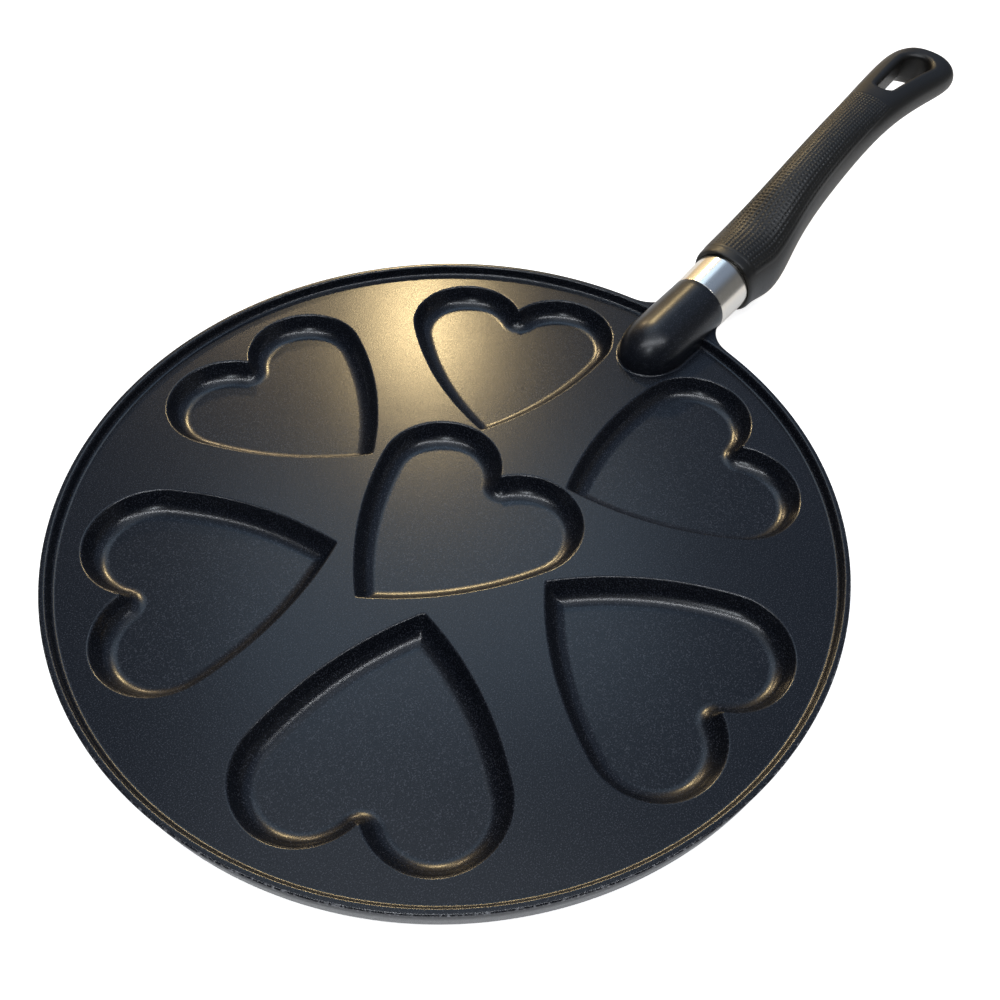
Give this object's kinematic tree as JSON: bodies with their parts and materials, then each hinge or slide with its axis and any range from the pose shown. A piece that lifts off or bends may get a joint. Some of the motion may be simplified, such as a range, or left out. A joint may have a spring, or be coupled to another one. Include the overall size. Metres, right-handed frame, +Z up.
{
  "type": "pancake pan",
  "caption": "Round cast pan with heart-shaped wells in its flat plate, a low rim, a bright sleeve and a curved moulded grip with a hanging hole.",
  "frame": {"origin": "centre of the pan's flat base, on the surface the pan stands on", "axes": "+Z up out of the wells, +X from the middle of the plate out along the grip, +Y to the left of the grip seen from above"},
  "size_m": [0.4631, 0.2698, 0.0638],
  "materials": {
    "coated_casting": "dark non-stick coating with fine speckles, satin",
    "bright_steel": "polished",
    "black_moulding": "smooth sides, dimpled top",
    "screw_steel": "zinc plated"
  },
  "bodies": {
    "root": {"pan_body": "coated_casting", "flame_guard": "bright_steel", "grip": "black_moulding", "handle_screw": "screw_steel", "flat_washer": "screw_steel", "spring_washer": "screw_steel"}
  },
  "joints": []
}
